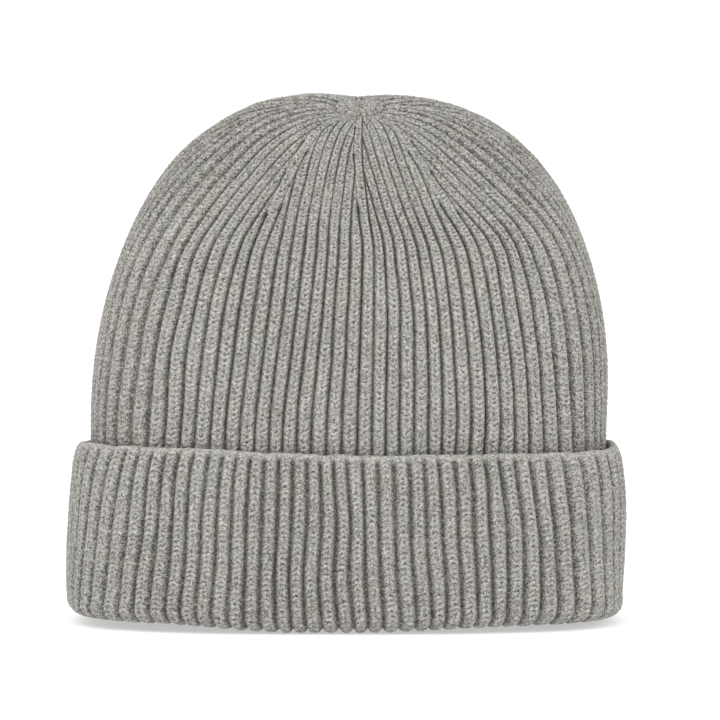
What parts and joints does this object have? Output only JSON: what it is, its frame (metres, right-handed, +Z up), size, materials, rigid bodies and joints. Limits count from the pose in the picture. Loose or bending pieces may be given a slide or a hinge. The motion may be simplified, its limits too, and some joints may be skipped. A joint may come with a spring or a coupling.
{
  "type": "knit beanie",
  "caption": "Soft rib-knit beanie, open below, drawn together at the crown, with a deep turned-up cuff that turns down.",
  "frame": {"origin": "on the floor under the middle of the hat, where it stands on the fold of its cuff", "axes": "+Z up to the crown, front towards -Y, back seam at +Y, +X to the viewer's right"},
  "size_m": [0.2236, 0.1356, 0.2128],
  "materials": {
    "rib_knit": "matt, fuzzy, light heather grey rib knit",
    "seam_yarn": "matt grey yarn, a little finer than the knit",
    "label_satin": "soft satin tape, blank",
    "label_thread": "fine matt sewing thread"
  },
  "bodies": {
    "hat": {"crown": "rib_knit", "crown_gather": "rib_knit", "draw_thread": "seam_yarn", "draw_knot": "seam_yarn", "body": "rib_knit", "inner_band": "rib_knit", "back_seam": "rib_knit", "care_label": "label_satin", "label_stitches": "label_thread"},
    "turned_cuff": {"cuff": "rib_knit", "cuff_edge": "rib_knit", "cuff_fold": "rib_knit", "cuff_seam": "rib_knit"}
  },
  "joints": [
    {"name": "cuff_turn", "type": "slide", "parent": "hat", "child": "turned_cuff", "axis": [0, 0, -1], "range_m": [0, 0.066]}
  ]
}
